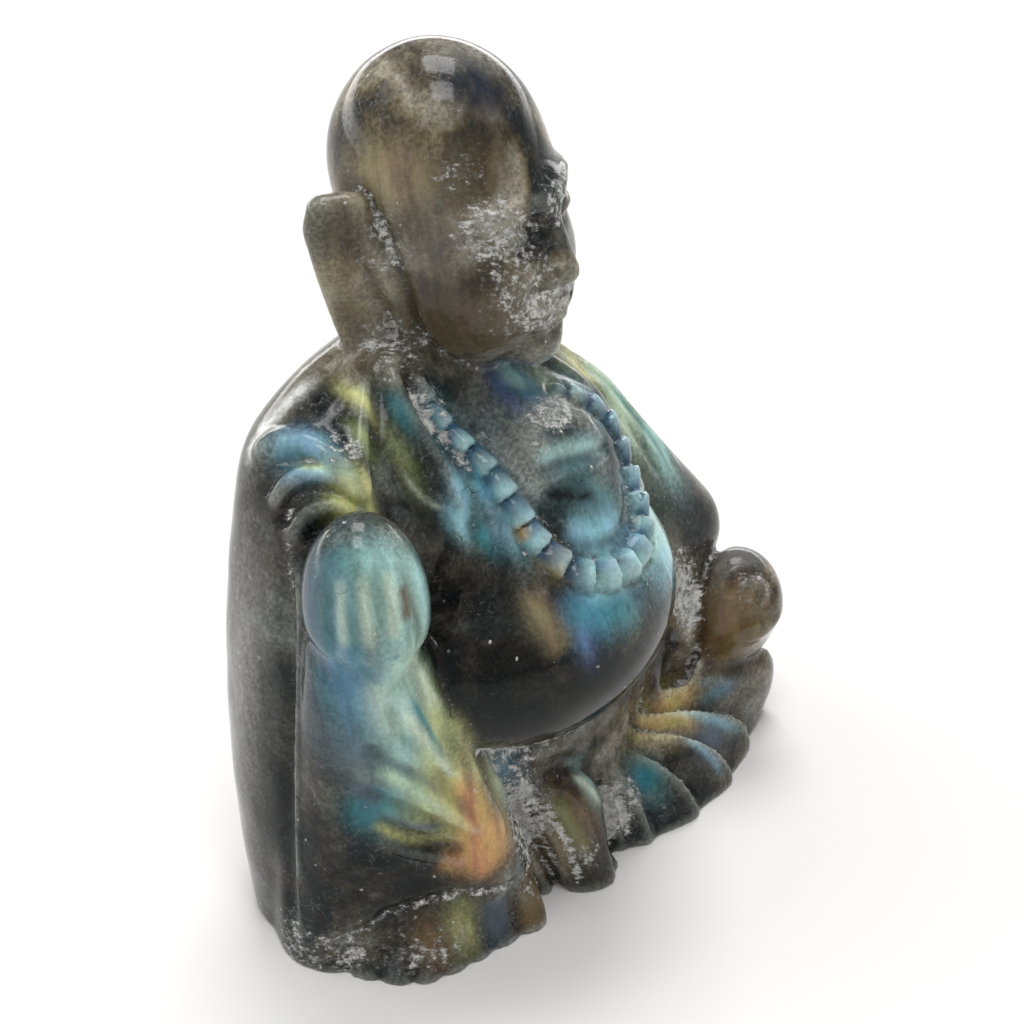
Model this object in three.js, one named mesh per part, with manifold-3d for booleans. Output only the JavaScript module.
// A carved stone buddha, seated with the right knee raised: one solid, cut flat underneath.
// The figure faces -Y, its right hand is at -X, and +Z is up. All lengths are millimetres.
// Forms are distance functions of a point, blended together, then turned into one closed skin.
import * as THREE from 'three';
import Module from 'manifold-3d';

// Mesh sizes
const CELL = 0.75;              // edge of a sampling cell
const TRIANGLES = 9900;         // what the skin is simplified to, before the base is cut
const BELOW = 3;                // how far the skin runs under the base before the cut
const REACH = { low: [-43, -29, -5], high: [44, 30, 104] };

// Robe: levels up the body, with its half width, front, back and middle at each
const LEVEL = [-6, 0, 12, 30, 45, 56, 62, 65.5, 69.5];
const HALF = [34.5, 35.2, 35.8, 34.6, 31.4, 27.8, 24.4, 19.5, 11];
const FRONT = [-12, -12, -13, -12, -8, -4, -1, 1, 4];
const BACK = [17.5, 19, 20.5, 22, 22, 21, 19.5, 17.5, 14];
const MIDDLE = [-1, -1, -1, -1, -1.5, -2, -2.5, -3, -3];
const SQUARE = 2.6;             // how square the robe is, seen from above
const SLOPE = { step: 2.5, rate: 0.37 };   // the left shoulder hangs lower

// Trunk
const CHEST = { at: [-1.2, -0.3, 50], size: [16, 12, 12.5] };
const BELLY = { at: [-4.6, -4.3, 36.4], size: [22.2, 18, 15.2] };
const NECK = { at: [-1, 8, 67], size: [9, 8, 8] };

// Left side: folded leg, sleeve and hand
const LEFT_THIGH = { at: [15, -4.5, 0], size: [23.5, 17.4, 14] };
const LEFT_KNEE = { at: [30.5, -9.5, 6], size: [9, 9.5, 9.5] };
const LEFT_ARM = { from: [17, 6, 46], to: [28.6, -3, 28.5], radii: [7.2, 6.9] };
const LEFT_CUFF = { from: [26, -2, 26], to: [29, -10, 17], radii: [7, 6.2] };
const UNDER_CUFF = { from: [21.5, -6.5, 21], to: [25.5, -10.5, 11.5], radii: [4, 4.2] };
const LEFT_HAND = { at: [30.4, -12.8, 18.4], size: [6.9, 6.6, 9.8], tilt: [8, -6] };

// Right side: arm, raised leg under its drape, hand on the knee, hem and foot
const RIGHT_ARM = { from: [-22, 7, 57], to: [-25, 3, 44], radii: [6.6, 6.5] };
const SHIN = { corners: [[-30, -5.5, 46], [-19.5, -10.5, 10.5], [-32, 0, 0]], radius: 6.2 };
const RIGHT_HAND = { at: [-29.9, -6.2, 51.7], size: [7, 6.5, 10.5], tilt: [-7, 0] };
const HEM_SIDE = [[-31.5, 1.5, -3], [-30.7, -4.2, -3], [-27, -8.8, -2]];
const HEM_FRONT = [[-31.5, 1.5, -3], [-15.5, -14, -3], [-27, -8.8, -2]];
const HEM_RADIUS = 5.8;
const HEM_DOME = { at: [-23.8, -6.2, -1], size: [11, 9.4, 10] };
const HEM_EDGE = { corners: [[-21, -9.5, 25], [-15.8, -13.8, 2], [-26, -9, 4]], radius: 3.8 };
const HEM_END = { across: [0.894, -0.447], reach: -4 };    // where the hem stops short of the foot
const CLOTH = { corners: [[-15, -8.6, 19], [-9.6, -13.2, 0], [-6, -11, 0]], radius: 2.7 };
const FOOT = { at: [-5, -12.6, 9.4], size: [5.2, 4.4, 9], tilt: [-20, -25] };
const ANKLE_TO_TOES = { from: [-13, -10.4, 20], to: [-3.6, -16.2, -1], radii: [1.8, 4.7] };

// Head: its centre and turn, with every size below it in its own frame
const HEAD = { at: [-0.2, 6.6, 82], yaw: 10, radius: 24 };
const SKULL = { at: [0, 2.4, 5.2], size: [11.2, 12.2, 13.2] };
const FACE = { at: [0, -1.6, -4.9], size: [10.2, 11, 13.8] };
const EYE_LEVEL = 1;            // half way down the head
const NOSE_LEVEL = -4.6;
const MOUTH_LEVEL = -8.1;
const CHIN_LEVEL = -13.4;
const EAR = { out: 11.6, back: 5.2, yaw: 40 };
const EAR_LEVELS = [-15.5, -12, -7, -1, 2.4, 3.9];
const EAR_WIDTHS = [0.7, 1.3, 2.1, 2.9, 2.8, 1.8];
const EAR_SLANT = [-0.6, 0, 0.4, 0.7, 1.2, 1.8];

// Necklace of stepped beads
const BEAD_PITCH = 4.3;
const BEAD_HALF = [1.2, 2.2];   // half width at the shoulder and at the lowest bead
const BEAD_RISE = [0.4, 1.5];   // height of a bead at its low and high end
const BEAD_STEP = [0.35, 0.2];  // how much wider the high end is, and how much more on the left side
const BEAD_LIFT = 0.5;          // how much higher the high end is on the left side
const NECKLACE = [
  [-11.7, 3, 67.8], [-11.4, -0.6, 64.4], [-10.6, -5.4, 60.3], [-10.2, -9.6, 56.2],
  [-9.5, -13.4, 51.6], [-7.4, -16.6, 48.4], [-4, -18.6, 47], [0.9, -19, 46.4],
  [6, -17.6, 47], [10, -14.5, 49.5], [12, -11, 53], [11.3, -8.4, 56.6],
  [8.5, -6.8, 60], [5, -5, 63],
];

// Pleats: ridge angles about a centre seen from above, then where they grow, their depth and their top
const HEM_PLEATS = {
  centre: [-22, -5], ridges: [165, 182.6, 200.2, 217.9, 235.5, 253.1, 270.8, 288.4, 306],
  inner: 6, outer: 13, depth: 0.75, low: 6, high: 12, round: true,
};
const LEG_PLEATS = {
  centre: [4, -9], ridges: [-126, -108, -88, -57, -37, -24, -13, 4],
  inner: 3, outer: 11, depth: 2.1, low: 13, high: 20, round: false,
};
const PLEAT_FADE = { low: -1, high: 5, least: 0.25 };      // the left leg's pleats run out towards the base

// Carved lines on the body: points near the surface, width, and depth, which is below 0 for a ridge
const FINEST = 0.7;             // no line is carved narrower than this
const CARVED = [
  // folds of the right sleeve, gathered at the armpit
  [[[-30.6, 11.2, 62.4], [-27.6, 9.6, 64.6], [-26.1, 4.7, 65.4], [-25.5, 1, 63.1],
    [-24.3, -0.9, 58.2]], 1.4, -1.7],
  [[[-32, 8.6, 59.6], [-28.6, 6.9, 63], [-26.6, 3.8, 63.8], [-25.7, 0.7, 61.9], [-24.5, -1.2, 58]],
    0.8, 1.3],
  [[[-32.2, 6.2, 58.6], [-29.4, 5.4, 61.4], [-26.8, 3, 62.4], [-25.7, 0.2, 61], [-24.6, -1.4, 57.6]],
    0.9, -1],
  [[[-32.6, 4.6, 57], [-29.6, 4, 60], [-26.9, 1.9, 61], [-25.6, -0.4, 59.8], [-24.8, -1.8, 57.2]],
    0.8, 1.2],
  [[[-32.8, 3.2, 55.4], [-30.2, 2.7, 58.2], [-27.4, 0.9, 59.4], [-25.9, -1, 58.4],
    [-25.2, -2.2, 56.8]], 0.9, -1.1],
  // edges of the robe beside the sleeve and on both sides of the chest
  [[[-15.4, 6.7, 68.7], [-19.3, 3.3, 66.6], [-22.4, 0.2, 63.2], [-23.9, -1.3, 58.8]], 0.8, -1.1],
  [[[-14.2, 5.6, 69], [-18, 2, 66.2], [-21.2, -1, 62.6], [-22.6, -2.6, 57.6], [-22.4, -4.2, 51]],
    0.9, 0.9],
  [[[-12.6, 6.1, 69.6], [-14.8, 1.4, 66.3], [-14.4, -2.5, 62.2], [-14.6, -5.5, 57], [-16, -6.8, 51]],
    0.8, -1.5],
  [[[-11.4, 5, 69.4], [-13.2, 0.2, 65.8], [-12.9, -3.9, 61.4], [-13.3, -7, 56.4], [-15, -8.6, 50]],
    0.8, 0.6],
  [[[-19.4, 0.4, 62.6], [-18.5, -1.9, 58.2], [-16.4, -4.3, 55.4]], 0.45, 0.4],
  [[[6, 2.5, 64], [11, -1.5, 61], [15.5, -5, 55], [18.5, -8, 47], [19.5, -9, 40]], 1.2, -1.3],
  [[[8, 4.5, 64], [14, 0.5, 60.5], [19.5, -2.4, 54], [22.5, -5, 46], [23.5, -6, 38]], 0.7, 0.7],
  [[[11, 6.5, 63.6], [18, 3.4, 58.6], [23.4, 0, 51], [26.5, -2.6, 43], [27.5, -3.4, 36]], 0.7, -0.6],
  [[[14, 8.6, 62], [21.6, 6, 55], [27.2, 2.8, 46], [30, 0, 37]], 0.6, 0.5],
  // the drape's edge down the right side
  [[[-31, 4.4, 55], [-33, 3.3, 49.9], [-35.6, 1.7, 38.5], [-37.2, 1, 25.4], [-37.9, 0.6, 10.4],
    [-37.6, 0.5, 1]], 1.2, 1.3],
  [[[-30.9, 2.6, 56.3], [-32.5, 1.5, 49.9], [-35, -0.1, 38.5], [-36.6, -0.8, 25.4],
    [-37.5, -0.6, 10.4], [-37.2, -0.5, 1]], 0.6, -0.55],
  // breast fold, and the crescent under the mound in the necklace's loop
  [[[-6.4, -9.3, 57.2], [-3, -10.4, 57.4], [1, -10.8, 56.6], [6.4, -9.4, 54.4]], 0.7, 1],
  [[[-5.4, -8.3, 59.2], [-2.5, -9.4, 59.4], [2, -9.8, 58.4], [6.4, -8.9, 56.6]], 1.3, -0.7],
  [[[-7.6, -11.6, 54.4], [-7.2, -12.8, 52.2], [-5.2, -14.9, 50], [-0.5, -16.4, 48.6],
    [5, -15.6, 49.4], [8, -13.4, 51.8]], 0.6, 0.8],
  // curled fingers of the left hand
  [[[26.4, -16, 24.1], [26.6, -15, 26], [29, -16.4, 27.2], [31, -18.2, 25], [30.4, -18.6, 22.8],
    [28.2, -17.6, 23]], 0.6, 0.6],
  [[[25.6, -14, 16.8], [25.8, -16.4, 20.6], [28.5, -18.4, 21.4], [32, -18.6, 19.4]], 0.6, 0.5],
  // folds of the drape over the raised leg
  [[[-34.9, -8.4, 37.5], [-31.1, -10.3, 33.2], [-27, -12.9, 28.5], [-22.6, -15.5, 20]], 0.9, 1],
  [[[-35.4, -7.4, 34.5], [-31.3, -9.6, 30.2], [-27.2, -12.6, 25.5], [-22.2, -15.3, 18]], 0.9, -0.9],
  [[[-34.6, -8, 30.6], [-30.4, -10.2, 26.4], [-26.2, -13, 22.4], [-22, -15.4, 17.2]], 0.7, 0.6],
  [[[-33.2, -8.7, 25.5], [-29.1, -10.9, 21.2], [-23.4, -14, 17.4]], 0.8, 0.9],
  [[[-33.4, -8.2, 22.6], [-29.2, -10.6, 18.8], [-23.4, -14.2, 15.6]], 0.8, -0.6],
  [[[-33, -10.9, 44], [-30.4, -11.5, 36.1], [-24.7, -13.6, 25.8]], 0.8, 0.8],
  [[[-31.4, -11.2, 44.6], [-28.8, -12, 37.2], [-23.8, -14, 26.6]], 0.6, -0.5],
  [[[-26.7, -12, 42.4], [-25.4, -13.1, 36.2], [-21.8, -14.6, 25.9], [-18.5, -15.5, 15]], 0.8, -0.8],
  // folds between the leg and the foot, then two lines along the foot
  [[[-18, -12.5, 24], [-15.2, -13.5, 13], [-12.6, -17, 6]], 0.7, -0.9],
  [[[-15.6, -12.3, 23.2], [-13.2, -13.5, 13.6], [-11, -17, 5]], 0.7, 0.9],
  [[[-12.3, -12.7, 18], [-9.8, -14.6, 12.5], [-9.2, -18, 8.4], [-9.6, -20, 3]], 0.5, 0.9],
  [[[-9.4, -12.6, 17], [-5.6, -15, 12], [-4.4, -18.6, 6.5]], 0.5, 0.35],
  // border over the pleated hem
  [[[-37, -2.5, 3], [-34.9, -4.1, 5.2], [-31, -8.1, 9], [-28, -11.8, 10.4], [-24.2, -14.3, 10.8],
    [-18.5, -16.4, 8.6], [-13.4, -18.5, 4]], 0.6, 1],
  // shallow folds across the back
  [[[-24, 17, 60], [-10, 22, 50], [4, 23, 36], [12, 22, 20]], 2.6, 0.6],
  [[[-16, 20, 62], [2, 22, 54], [18, 20, 42], [28, 16, 26]], 2.6, 0.6],
];

// Gaps between the fingers of the right hand
const FINGERS = [
  [[-35.6, -7.4, 58], [-36.4, -7.6, 54], [-36, -7.6, 49.4], [-34.6, -8.2, 45.6]],
  [[-33.4, -8.6, 60], [-35, -9.2, 55], [-34.8, -9.4, 49.6], [-33.6, -9.6, 45]],
  [[-31, -9.6, 60.2], [-32.6, -10.6, 55], [-32.6, -11, 49.6], [-31.6, -10.8, 45]],
  [[-28.4, -10.6, 58.4], [-28.6, -11.4, 55], [-28.6, -11.6, 51.6], [-28.8, -11.2, 48]],
];
const FINGER_CUT = { width: 0.8, depth: 0.8 };

const STONE = { color: 0x4b4a45, roughness: 0.3, metalness: 0 };

const clamp = (v, low, high) => Math.min(Math.max(v, low), high);
const smooth = (v, low, high) => {
  const t = clamp((v - low) / (high - low), 0, 1);
  return t * t * (3 - 2 * t);
};
const radians = THREE.MathUtils.degToRad;

// A smooth value between stations
function spline(v, at, value) {
  const last = at.length - 1;
  const x = clamp(v, at[0], at[last]);
  let i = 0;
  while (i < last - 1 && x > at[i + 1]) i += 1;
  const slope = (k) => {
    if (k === 0) return (value[1] - value[0]) / (at[1] - at[0]);
    if (k === last) return (value[last] - value[last - 1]) / (at[last] - at[last - 1]);
    const before = at[k] - at[k - 1];
    const after = at[k + 1] - at[k];
    const down = (value[k] - value[k - 1]) / before;
    const up = (value[k + 1] - value[k]) / after;
    return (down * after + up * before) / (before + after);
  };
  const h = at[i + 1] - at[i];
  const t = (x - at[i]) / h;
  const u = t * t * (3 - 2 * t);
  const rise = t * (1 - t) * (1 - t) * h * slope(i);
  const fall = t * t * (t - 1) * h * slope(i + 1);
  return value[i] * (1 - u) + value[i + 1] * u + rise + fall;
}

// Distance functions of simple forms

function egg({ at, size, tilt = [0, 0] }) {
  const [a, b, c] = size;
  const turn = new THREE.Euler(radians(tilt[0]), radians(tilt[1]), 0, 'ZYX');
  const axes = new THREE.Matrix4().makeRotationFromEuler(turn).elements;
  return (x, y, z) => {
    const dx = x - at[0];
    const dy = y - at[1];
    const dz = z - at[2];
    const p = (axes[0] * dx + axes[1] * dy + axes[2] * dz) / a;
    const q = (axes[4] * dx + axes[5] * dy + axes[6] * dz) / b;
    const r = (axes[8] * dx + axes[9] * dy + axes[10] * dz) / c;
    const near = Math.hypot(p, q, r);
    return (near * (near - 1)) / Math.max(Math.hypot(p / a, q / b, r / c), 1e-6);
  };
}

function bone({ from, to, radii }) {
  const d = to.map((v, k) => v - from[k]);
  const length2 = d[0] * d[0] + d[1] * d[1] + d[2] * d[2];
  return (x, y, z) => {
    const p = x - from[0];
    const q = y - from[1];
    const r = z - from[2];
    const h = clamp((p * d[0] + q * d[1] + r * d[2]) / length2, 0, 1);
    const radius = radii[0] + h * (radii[1] - radii[0]);
    return Math.hypot(p - h * d[0], q - h * d[1], r - h * d[2]) - radius;
  };
}

function plate({ corners, radius }) {
  const triangle = new THREE.Triangle(...corners.map((c) => new THREE.Vector3(...c)));
  const point = new THREE.Vector3();
  const nearest = new THREE.Vector3();
  return (x, y, z) => {
    point.set(x, y, z);
    return triangle.closestPointToPoint(point, nearest).distanceTo(point) - radius;
  };
}

const value = (v, z) => (typeof v === 'function' ? v(z) : v);

// Smooth union, smooth cut, and a union with a crease carved along the seam
const blend = (a, b, k) => {
  const h = Math.max(k - Math.abs(a - b), 0) / k;
  return Math.min(a, b) - (h * h * k) / 4;
};
const join = (a, b, k) => (x, y, z) => blend(a(x, y, z), b(x, y, z), k);
const cut = (a, b, k) => (x, y, z) => -blend(-a(x, y, z), b(x, y, z), k);
const weld = (a, b, k, width, depth) => (x, y, z) => {
  const p = a(x, y, z);
  const q = b(x, y, z);
  return blend(p, q, value(k, z)) + value(depth, z) * Math.exp(-(p * p + q * q) / (width * width));
};

// A form in a frame of its own, turned about the upright axis
function placed(form, at, yaw) {
  const c = Math.cos(radians(yaw));
  const s = Math.sin(radians(yaw));
  return (x, y, z) => {
    const p = x - at[0];
    const q = y - at[1];
    return form(c * p + s * q, c * q - s * p, z - at[2]);
  };
}

function robe(x, y, z) {
  const drop = SLOPE.step * smooth(x, -5, 7) + SLOPE.rate * Math.max(x - 4, 0);
  const level = z + drop * smooth(z, 25, 50);
  const half = spline(level, LEVEL, HALF);
  const front = spline(level, LEVEL, FRONT);
  const back = spline(level, LEVEL, BACK);
  const depth = (back - front) / 2;
  const p = Math.abs(x - spline(level, LEVEL, MIDDLE)) / half;
  const q = Math.abs(y - (front + back) / 2) / depth;
  const side = ((p ** SQUARE + q ** SQUARE) ** (1 / SQUARE) - 1) * Math.min(half, depth);
  const over = level - LEVEL[LEVEL.length - 1];
  return over > 0 ? Math.hypot(Math.max(side, 0), over) : side;
}

// Lines

function curve(points, steps = 5) {
  const at = points.map((_, i) => i);
  const total = (points.length - 1) * steps;
  const line = [];
  for (let i = 0; i <= total; i += 1) {
    line.push([0, 1, 2].map((k) => spline(i / steps, at, points.map((p) => p[k]))));
  }
  return line;
}

// Moves the points of a line onto the surface of a form
function snap(form, points) {
  const e = 0.05;
  return points.map((start) => {
    let [x, y, z] = start;
    for (let i = 0; i < 8; i += 1) {
      const f = form(x, y, z);
      const gx = (form(x + e, y, z) - form(x - e, y, z)) / (2 * e);
      const gy = (form(x, y + e, z) - form(x, y - e, z)) / (2 * e);
      const gz = (form(x, y, z + e) - form(x, y, z - e)) / (2 * e);
      const step = clamp(f, -1.5, 1.5) / Math.max(gx * gx + gy * gy + gz * gz, 0.05);
      x -= step * gx;
      y -= step * gy;
      z -= step * gz;
    }
    return [x, y, z];
  });
}

// A function that gives the distance to a line and how far along it, or null when out of reach
function trace(line, reach) {
  const low = [0, 1, 2].map((k) => Math.min(...line.map((p) => p[k])) - reach);
  const high = [0, 1, 2].map((k) => Math.max(...line.map((p) => p[k])) + reach);
  const parts = [];
  let length = 0;
  for (let i = 0; i + 1 < line.length; i += 1) {
    const d = line[i + 1].map((v, k) => v - line[i][k]);
    const size = Math.hypot(...d);
    parts.push({ from: line[i], d, size, start: length });
    length += size;
  }
  return (x, y, z) => {
    if (x < low[0] || y < low[1] || z < low[2] || x > high[0] || y > high[1] || z > high[2]) return null;
    let best = Infinity;
    let along = 0;
    for (const part of parts) {
      const p = x - part.from[0];
      const q = y - part.from[1];
      const r = z - part.from[2];
      const d = part.d;
      const h = clamp((p * d[0] + q * d[1] + r * d[2]) / (part.size * part.size), 0, 1);
      const far = Math.hypot(p - h * d[0], q - h * d[1], r - h * d[2]);
      if (far < best) {
        best = far;
        along = part.start + h * part.size;
      }
    }
    return { away: best, along, length };
  };
}

// Surface work: each takes a distance and a point, and returns the new distance

function carve(line, width, depth, fade = 0.15) {
  const find = trace(line, width * 2.6);
  return (f, x, y, z) => {
    const hit = find(x, y, z);
    if (hit === null) return f;
    const run = fade * hit.length + 1e-3;
    const ends = smooth(hit.along, -1e-3, run) * smooth(hit.length - hit.along, -1e-3, run);
    return f + depth * Math.exp(-((hit.away / width) ** 2)) * (fade > 0 ? ends : 1);
  };
}

function beads(line) {
  const find = trace(line, 4);
  return (f, x, y, z) => {
    const hit = find(x, y, z);
    if (hit === null) return f;
    const turns = hit.along / BEAD_PITCH;
    const t = turns - Math.floor(turns);
    const low = Math.sin((Math.PI * hit.along) / hit.length) ** 2;
    const farSide = smooth(hit.along / hit.length, 0.6, 0.75);
    const widen = 0.8 + (BEAD_STEP[0] + BEAD_STEP[1] * farSide) * t;
    const half = (BEAD_HALF[0] + (BEAD_HALF[1] - BEAD_HALF[0]) * low) * widen;
    const rise = BEAD_RISE[0] + (BEAD_RISE[1] - BEAD_RISE[0] + BEAD_LIFT * farSide) * t;
    return f - rise * (1 - smooth(hit.away, half - 0.4, half + 0.4));
  };
}

function pleats({ centre, ridges, inner, outer, depth, low, high, round }) {
  const start = ridges[0];
  const span = ridges[ridges.length - 1] - start;
  return (f, x, y, z) => {
    const angle = THREE.MathUtils.radToDeg(Math.atan2(y - centre[1], x - centre[0])) - start;
    const a = angle - 360 * Math.floor(angle / 360);
    if (a >= span) return f;
    const i = ridges.findIndex((ridge) => ridge - start > a);
    const t = (a + start - ridges[i - 1]) / (ridges[i] - ridges[i - 1]);
    const rest = PLEAT_FADE.least + (1 - PLEAT_FADE.least) * smooth(z, PLEAT_FADE.low, PLEAT_FADE.high);
    const folded = smooth(t, -0.02, 0.24) * (1 - smooth(t, 0.2, 1.1)) * rest;
    const wave = round ? 1 - Math.sqrt(Math.sin(Math.PI * t)) : folded;
    const inside = smooth(a / span, 0, 0.05) * (1 - smooth(a / span, 0.95, 1));
    const grow = smooth(Math.hypot(x - centre[0], y - centre[1]), inner, outer);
    return f + depth * wave * inside * grow * (1 - smooth(z, low, high));
  };
}

const WORK_REACH = 4;           // the carved lines change nothing further from the surface than this
const carved = (form, works) => (x, y, z) => {
  const f = form(x, y, z);
  if (Math.abs(f) > WORK_REACH) return f;
  return works.reduce((sum, work) => work(sum, x, y, z), f);
};

// A form that is looked at closely only from nearby
const nearby = (form, at, radius) => (x, y, z) => {
  const far = Math.hypot(x - at[0], y - at[1], z - at[2]) - radius;
  return far > WORK_REACH ? far : form(x, y, z);
};

// Sub-parts

function makeTrunk() {
  let body = join(robe, egg(LEFT_THIGH), 2);
  body = join(body, egg(LEFT_KNEE), 3);
  const torso = join(egg(CHEST), egg(BELLY), 7);
  const soft = (z) => 0.6 + 3.4 * smooth(z, 48, 58);
  const crease = (z) => 1.5 * (1 - smooth(z, 44, 54));
  return weld(body, torso, soft, 1.8, crease);
}

function makeLeftArm(body) {
  const arm = join(join(body, bone(LEFT_ARM), 4), bone(LEFT_CUFF), 1.5);
  return weld(join(arm, bone(UNDER_CUFF), 2), egg(LEFT_HAND), 1.2, 0.9, 0.5);
}

function makeHem() {
  const front = plate({ corners: HEM_FRONT, radius: HEM_RADIUS });
  const side = plate({ corners: HEM_SIDE, radius: HEM_RADIUS });
  const cloth = join(join(join(front, side, 0.5), plate(HEM_EDGE), 1.5), egg(HEM_DOME), 3);
  const beyond = (x, y) => HEM_END.reach - HEM_END.across[0] * x - HEM_END.across[1] * y;
  return cut(cloth, beyond, 0.5);
}

function makeRightSide(body) {
  let side = join(body, bone(RIGHT_ARM), 5);
  side = join(join(side, makeHem(), 1), plate(SHIN), 1.6);
  side = weld(side, egg(RIGHT_HAND), 0.4, 0.9, 0.7);
  side = weld(side, plate(CLOTH), 0.4, 0.8, 0.6);
  return weld(side, join(egg(FOOT), bone(ANKLE_TO_TOES), 3), 0.4, 0.9, 0.8);
}

function makeHead() {
  let head = join(egg(SKULL), egg(FACE), 5);
  for (const s of [-1, 1]) {
    head = join(head, egg({ at: [s * 5.8, -5.4, -6.4], size: [4.9, 5.2, 6.2] }), 3);
    head = join(head, bone({ from: [s * 1.5, -10.6, 4.2], to: [s * 7.2, -8, 3.4], radii: [1.6, 1.3] }), 2);
    head = cut(head, egg({ at: [s * 4.3, -12.4, EYE_LEVEL + 0.2], size: [3.5, 2.4, 1.9] }), 1.4);
    head = join(head, egg({ at: [s * 4.4, -8.8, EYE_LEVEL - 0.2], size: [3, 2.2, 1.7] }), 0.5);
  }
  const bridge = { from: [0, -10.4, 3.4], to: [0, -13.4, NOSE_LEVEL + 0.6], radii: [1.1, 1.6] };
  head = join(head, bone(bridge), 1.6);
  for (const s of [-1, 1]) {
    head = join(head, egg({ at: [s * 1.8, -12, NOSE_LEVEL], size: [1.4, 1.6, 1.2] }), 0.6);
  }
  head = join(head, egg({ at: [0, -10.5, MOUTH_LEVEL - 0.3], size: [5, 2.6, 3.4] }), 2);
  for (const s of [-1, 1]) {
    const upper = [[s * 3.3, -11.4, MOUTH_LEVEL + 0.5], [0, -12.9, MOUTH_LEVEL + 0.7]];
    const lower = [[s * 2.8, -11.5, MOUTH_LEVEL - 0.7], [0, -12.6, MOUTH_LEVEL - 1.2]];
    head = join(head, bone({ from: upper[0], to: upper[1], radii: [0.5, 0.8] }), 0.6);
    head = join(head, bone({ from: lower[0], to: lower[1], radii: [0.5, 0.9] }), 0.6);
  }
  head = join(head, egg({ at: [0, -9.8, CHIN_LEVEL], size: [3.6, 2.8, 2.9] }), 2);
  const corner = MOUTH_LEVEL + 0.2;
  const mouth = [[-3.8, -11.5, corner], [0, -13.6, MOUTH_LEVEL - 0.2], [3.8, -11.5, corner]];
  const lines = [carve(curve(mouth), 0.4, 0.45, 0)];
  for (const s of [-1, 1]) {
    const inner = [s * 1.8, -11.2, EYE_LEVEL - 0.4];
    const lid = [inner, [s * 4.4, -11.2, EYE_LEVEL - 0.9], [s * 7, -9.2, EYE_LEVEL - 0.3]];
    lines.push(carve(curve(lid), 0.4, 0.4, 0));
  }
  return nearby(placed(carved(head, lines), HEAD.at, HEAD.yaw), HEAD.at, HEAD.radius);
}

// A long leaf-shaped ear: a thick rim round a hollow
function makeEar(s) {
  const top = EAR_LEVELS[EAR_LEVELS.length - 1];
  const blade = (x, y, z) => {
    const across = Math.abs(x - s * spline(z, EAR_LEVELS, EAR_SLANT));
    const p = Math.max(across - spline(z, EAR_LEVELS, EAR_WIDTHS), 0);
    const over = Math.max(z - top, EAR_LEVELS[0] - z, 0);
    return Math.hypot(p, y, over) - 1.1 - 0.7 * smooth(z, -14, 2);
  };
  const lobe = [[-s * 0.8, -1.6, -5], [-s * 1.3, -1.4, -9]];
  const hollow = [[s * 3.2, -1.9, 2.4], [s * 1.8, -1.9, 0.4], [s * 0.3, -1.8, -2], ...lobe];
  const rim = [[s * 0.6, -0.6, 3.7], [-s * 1.6, -0.8, -0.3], [-s * 7, -1.4, -14]];
  const upper = bone({ from: rim[0], to: rim[1], radii: [1.2, 1.7] });
  const lower = bone({ from: rim[1], to: rim[2], radii: [1.7, 2.4] });
  const whole = join(join(blade, upper, 0.6), lower, 0.6);
  const lines = [carve(curve(hollow), 0.7, 0.5, 0.15)];
  const onHead = placed(carved(whole, lines), [s * EAR.out, EAR.back, 0], s * EAR.yaw);
  return nearby(placed(onHead, HEAD.at, HEAD.yaw), HEAD.at, HEAD.radius);
}

function makeFigure() {
  const plain = join(makeRightSide(makeLeftArm(makeTrunk())), egg(NECK), 3);
  const ears = join(makeEar(-1), makeEar(1), 0.01);
  const whole = weld(join(plain, ears, 1), makeHead(), 0.8, 1, 0.5);
  const onBody = (points) => snap(plain, curve(points));
  const works = CARVED.map(([points, width, depth]) => carve(onBody(points), Math.max(width, FINEST), depth));
  works.push(beads(onBody(NECKLACE)));
  for (const points of FINGERS) {
    works.push(carve(onBody(points), FINGER_CUT.width, FINGER_CUT.depth));
  }
  works.push(pleats(HEM_PLEATS), pleats(LEG_PLEATS));
  const finished = carved(whole, works);
  return (x, y, z) => Math.max(finished(x, y, z), -BELOW - z);
}

// Cells whose inside or outside corners fall apart would give a skin that touches itself
const EDGES = [
  [0, 1], [2, 3], [4, 5], [6, 7],
  [0, 2], [1, 3], [4, 6], [5, 7],
  [0, 4], [1, 5], [2, 6], [3, 7],
];
const FACES = [[0, 1, 3, 2], [4, 5, 7, 6], [0, 1, 5, 4], [2, 3, 7, 6], [0, 2, 6, 4], [1, 3, 7, 5]];
const PINCHED = Array.from({ length: 256 }, (_, bits) => {
  const inside = (corner) => (bits >> corner) & 1;
  const group = [0, 1, 2, 3, 4, 5, 6, 7];
  for (let pass = 0; pass < 8; pass += 1) {
    for (const [a, b] of EDGES) {
      if (inside(a) === inside(b)) group[a] = group[b] = Math.min(group[a], group[b]);
    }
  }
  const split = (a, b, c, d) => inside(a) === inside(c) && inside(b) === inside(d) && inside(a) !== inside(b);
  const crossed = FACES.some((face) => split(...face));
  return crossed || new Set(group).size > 2;
});

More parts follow.
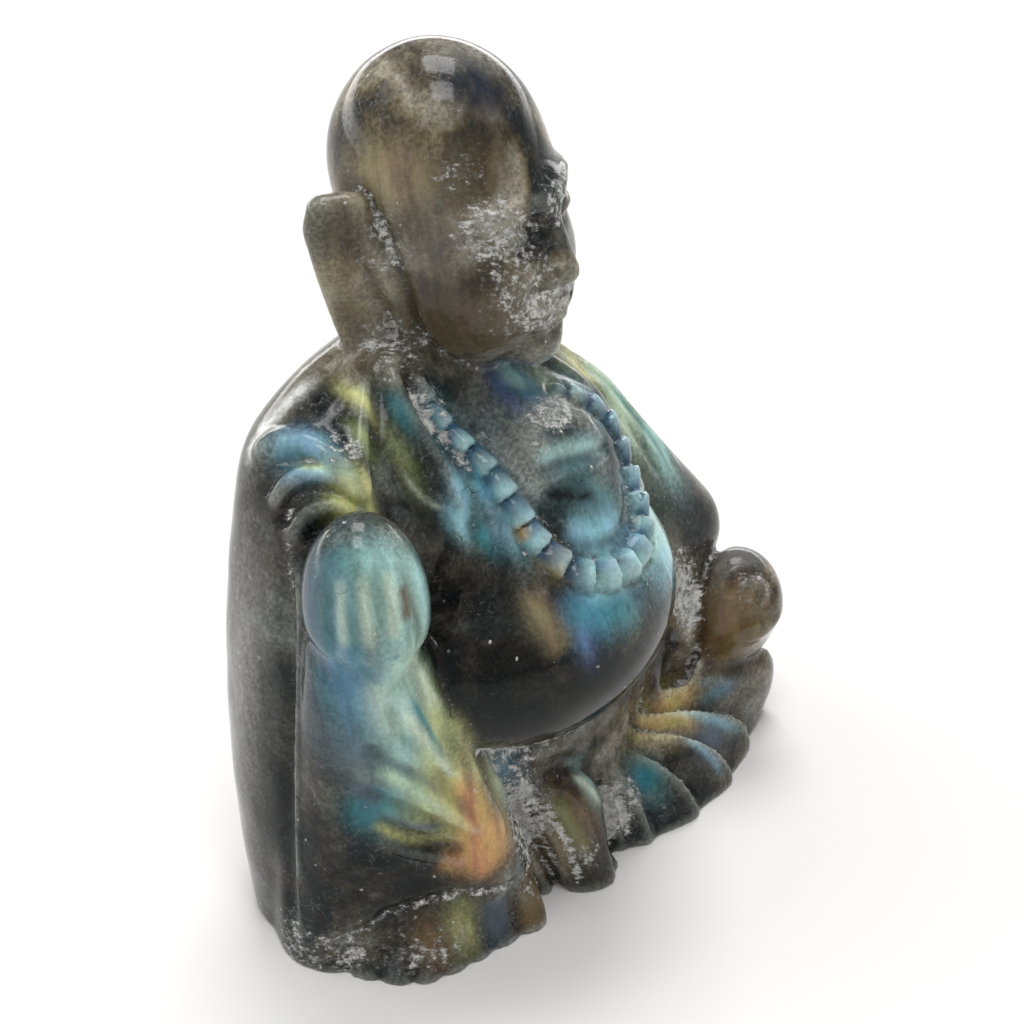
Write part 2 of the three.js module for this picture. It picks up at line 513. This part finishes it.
// Fills such cells until none is left
function fillPinches(samples, n, strides) {
  const offset = (c) => (c & 1) + ((c >> 1) & 1) * strides[1] + (c >> 2) * strides[2];
  const corners = [0, 1, 2, 3, 4, 5, 6, 7].map(offset);
  let changed = true;
  while (changed) {
    changed = false;
    for (let k = 0; k < n[2] - 1; k += 1) {
      for (let j = 0; j < n[1] - 1; j += 1) {
        for (let i = 0; i < n[0] - 1; i += 1) {
          const base = i + j * strides[1] + k * strides[2];
          let bits = 0;
          for (let c = 0; c < 8; c += 1) {
            if (samples[base + corners[c]] < 0) bits |= 1 << c;
          }
          if (PINCHED[bits]) {
            const open = corners.filter((_, c) => !((bits >> c) & 1)).map((o) => base + o);
            open.sort((a, b) => samples[a] - samples[b]);
            samples[open[0]] = -0.02 * CELL;
            changed = true;
          }
        }
      }
    }
  }
}

// The skin of a form: one corner for each cell that the surface crosses, joined across cell edges
function skin(form, { low, high }, cell) {
  const n = low.map((v, k) => Math.ceil((high[k] - v) / cell) + 1);
  const strideY = n[0];
  const strideZ = n[0] * n[1];
  const samples = new Float32Array(strideZ * n[2]);
  for (let k = 0; k < n[2]; k += 1) {
    for (let j = 0; j < n[1]; j += 1) {
      for (let i = 0; i < n[0]; i += 1) {
        const at = [low[0] + i * cell, low[1] + j * cell, low[2] + k * cell];
        samples[i + j * strideY + k * strideZ] = form(...at);
      }
    }
  }
  const strides = [1, strideY, strideZ];
  fillPinches(samples, n, strides);
  const ids = new Int32Array(samples.length).fill(-1);
  const points = [];
  for (let k = 0; k < n[2] - 1; k += 1) {
    for (let j = 0; j < n[1] - 1; j += 1) {
      for (let i = 0; i < n[0] - 1; i += 1) {
        const base = i + j * strideY + k * strideZ;
        let crossings = 0;
        const sum = [0, 0, 0];
        for (let axis = 0; axis < 3; axis += 1) {
          const b = (axis + 1) % 3;
          const c = (axis + 2) % 3;
          for (let corner = 0; corner < 4; corner += 1) {
            const ob = corner & 1;
            const oc = corner >> 1;
            const start = base + ob * strides[b] + oc * strides[c];
            const from = samples[start];
            const to = samples[start + strides[axis]];
            if (from < 0 !== to < 0) {
              sum[axis] += from / (from - to);
              sum[b] += ob;
              sum[c] += oc;
              crossings += 1;
            }
          }
        }
        if (crossings > 0) {
          ids[base] = points.length;
          points.push([i, j, k].map((v, a) => low[a] + (v + sum[a] / crossings) * cell));
        }
      }
    }
  }
  const faces = [];
  for (let k = 1; k < n[2] - 1; k += 1) {
    for (let j = 1; j < n[1] - 1; j += 1) {
      for (let i = 1; i < n[0] - 1; i += 1) {
        const base = i + j * strideY + k * strideZ;
        for (let axis = 0; axis < 3; axis += 1) {
          const from = samples[base];
          const to = samples[base + strides[axis]];
          if (from < 0 !== to < 0) {
            const b = strides[(axis + 1) % 3];
            const c = strides[(axis + 2) % 3];
            const ring = [ids[base], ids[base - b], ids[base - b - c], ids[base - c]];
            if (from >= 0) ring.reverse();
            faces.push([ring[0], ring[1], ring[2]], [ring[0], ring[2], ring[3]]);
          }
        }
      }
    }
  }
  return { points, faces };
}

// Simplifies a closed skin by collapsing the edges that cost least,
// by the distance of the new point to the planes around them

function plane(points, face) {
  const [a, b, c] = face.map((i) => points[i]);
  const u = [b[0] - a[0], b[1] - a[1], b[2] - a[2]];
  const v = [c[0] - a[0], c[1] - a[1], c[2] - a[2]];
  const n = [u[1] * v[2] - u[2] * v[1], u[2] * v[0] - u[0] * v[2], u[0] * v[1] - u[1] * v[0]];
  const size = Math.hypot(...n);
  const unit = size > 1e-12 ? n.map((w) => w / size) : [0, 0, 0];
  return { normal: unit, area: size / 2, offset: -(unit[0] * a[0] + unit[1] * a[1] + unit[2] * a[2]) };
}

function addPlane(q, { normal, area, offset }) {
  const p = [...normal, offset];
  let k = 0;
  for (let i = 0; i < 4; i += 1) {
    for (let j = i; j < 4; j += 1) {
      q[k] += area * p[i] * p[j];
      k += 1;
    }
  }
}

const cost = (q, x, y, z) => (
  q[0] * x * x + 2 * q[1] * x * y + 2 * q[2] * x * z + 2 * q[3] * x
  + q[4] * y * y + 2 * q[5] * y * z + 2 * q[6] * y
  + q[7] * z * z + 2 * q[8] * z + q[9]);

// The best point for a collapsed edge, or the cheapest of its ends and middle
function bestPoint(q, a, b) {
  const m = [(a[0] + b[0]) / 2, (a[1] + b[1]) / 2, (a[2] + b[2]) / 2];
  const [xx, xy, xz, xw, yy, yz, yw, zz, zw] = q;
  const cxx = yy * zz - yz * yz;
  const cxy = yz * xz - xy * zz;
  const cxz = xy * yz - yy * xz;
  const cyy = xx * zz - xz * xz;
  const cyz = xy * xz - xx * yz;
  const czz = xx * yy - xy * xy;
  const det = xx * cxx + xy * cxy + xz * cxz;
  const options = [m, a, b];
  if (Math.abs(det) > 1e-6) {
    const x = -(cxx * xw + cxy * yw + cxz * zw) / det;
    const y = -(cxy * xw + cyy * yw + cyz * zw) / det;
    const z = -(cxz * xw + cyz * yw + czz * zw) / det;
    const length = Math.hypot(a[0] - b[0], a[1] - b[1], a[2] - b[2]);
    if (Math.hypot(x - m[0], y - m[1], z - m[2]) < 2 * length) options.unshift([x, y, z]);
  }
  let best = null;
  for (const p of options) {
    const c = cost(q, ...p);
    if (best === null || c < best.cost - 1e-12) best = { cost: c, point: p };
  }
  return best;
}

class Heap {
  constructor() {
    this.items = [];
  }

  push(item) {
    const items = this.items;
    let i = items.length;
    items.push(item);
    while (i > 0) {
      const up = (i - 1) >> 1;
      if (items[up].cost <= item.cost) break;
      items[i] = items[up];
      i = up;
    }
    items[i] = item;
  }

  pop() {
    const items = this.items;
    const top = items[0];
    const item = items.pop();
    const n = items.length;
    let i = 0;
    while (n > 0) {
      let child = 2 * i + 1;
      if (child >= n) break;
      if (child + 1 < n && items[child + 1].cost < items[child].cost) child += 1;
      if (items[child].cost >= item.cost) break;
      items[i] = items[child];
      i = child;
    }
    if (n > 0) items[i] = item;
    return top;
  }
}

function simplify({ points, faces }, target) {
  const around = points.map(() => new Set());
  const quadrics = points.map(() => new Float64Array(10));
  faces.forEach((face, f) => {
    const flat = plane(points, face);
    for (const v of face) {
      around[v].add(f);
      addPlane(quadrics[v], flat);
    }
  });
  const version = new Int32Array(points.length);
  const heap = new Heap();
  const neighbours = (v) => {
    const found = new Set();
    for (const f of around[v]) {
      for (const w of faces[f]) {
        if (w !== v) found.add(w);
      }
    }
    return found;
  };
  const offer = (a, b) => {
    const q = quadrics[a].map((v, i) => v + quadrics[b][i]);
    const best = bestPoint(q, points[a], points[b]);
    const length = Math.hypot(...points[a].map((v, k) => v - points[b][k]));
    heap.push({ ...best, cost: best.cost + 1e-5 * length * length, a, b, va: version[a], vb: version[b] });
  };
  for (let a = 0; a < points.length; a += 1) {
    for (const b of neighbours(a)) {
      if (a < b) offer(a, b);
    }
  }
  const turns = (v, other, point) => {
    for (const f of around[v]) {
      const face = faces[f];
      if (face.includes(other)) continue;
      const before = plane(points, face).normal;
      const kept = points[v];
      points[v] = point;
      const after = plane(points, face);
      points[v] = kept;
      const dot = before[0] * after.normal[0] + before[1] * after.normal[1] + before[2] * after.normal[2];
      if (dot < 0.3 || after.area < 1e-4) return true;
    }
    return false;
  };
  let count = faces.length;
  while (count > target && heap.items.length > 0) {
    const { a, b, va, vb, point } = heap.pop();
    if (version[a] !== va || version[b] !== vb) continue;
    const nearA = neighbours(a);
    if (!nearA.has(b)) continue;
    const shared = [...neighbours(b)].filter((v) => nearA.has(v));
    if (shared.length !== 2 || turns(a, b, point) || turns(b, a, point)) continue;
    for (const f of [...around[b]]) {
      const face = faces[f];
      if (face.includes(a)) {
        for (const v of face) around[v].delete(f);
        faces[f] = null;
        count -= 1;
      } else {
        face[face.indexOf(b)] = a;
        around[a].add(f);
      }
    }
    around[b].clear();
    points[a] = point;
    quadrics[a] = quadrics[a].map((v, i) => v + quadrics[b][i]);
    version[a] += 1;
    version[b] = -1;
    for (const v of neighbours(a)) offer(a, v);
  }
  const kept = faces.filter((face) => face !== null);
  const used = [...new Set(kept.flat())];
  const index = new Map(used.map((v, i) => [v, i]));
  return { points: used.map((v) => points[v]), faces: kept.map((face) => face.map((v) => index.get(v))) };
}

// Cuts the skin flat at the base and returns it as a geometry, centred over the origin
async function cutFlat({ points, faces }) {
  const library = await Module();
  library.setup();
  const { Manifold, Mesh } = library;
  const whole = Manifold.ofMesh(new Mesh({
    numProp: 3,
    vertProperties: new Float32Array(points.flat()),
    triVerts: new Uint32Array(faces.flat()),
  }));
  const room = REACH.high.map((v, k) => v - REACH.low[k]);
  const above = new THREE.BoxGeometry(room[0], room[1], REACH.high[2]);
  above.translate(...[0, 1].map((k) => (REACH.high[k] + REACH.low[k]) / 2), REACH.high[2] / 2);
  const corners = [];
  const index = new Map();
  const triangles = [...above.index.array].map((i) => {
    const p = [0, 1, 2].map((k) => above.attributes.position.array[3 * i + k]);
    const key = p.join();
    if (!index.has(key)) {
      index.set(key, corners.length);
      corners.push(p);
    }
    return index.get(key);
  });
  const space = Manifold.ofMesh(new Mesh({
    numProp: 3,
    vertProperties: new Float32Array(corners.flat()),
    triVerts: new Uint32Array(triangles),
  }));
  const mesh = whole.intersect(space).getMesh();
  const geometry = new THREE.BufferGeometry();
  geometry.setAttribute('position', new THREE.BufferAttribute(mesh.vertProperties, 3));
  geometry.setIndex(new THREE.BufferAttribute(mesh.triVerts, 1));
  geometry.computeBoundingBox();
  const middle = geometry.boundingBox.getCenter(new THREE.Vector3());
  geometry.translate(-middle.x, -middle.y, 0);
  geometry.computeVertexNormals();
  return geometry;
}

const shape = await cutFlat(simplify(skin(makeFigure(), REACH, CELL), TRIANGLES));
const figure = new THREE.Mesh(shape, new THREE.MeshStandardMaterial(STONE));
figure.name = 'carved_buddha';

const model = new THREE.Group();
model.add(figure);

export default model;
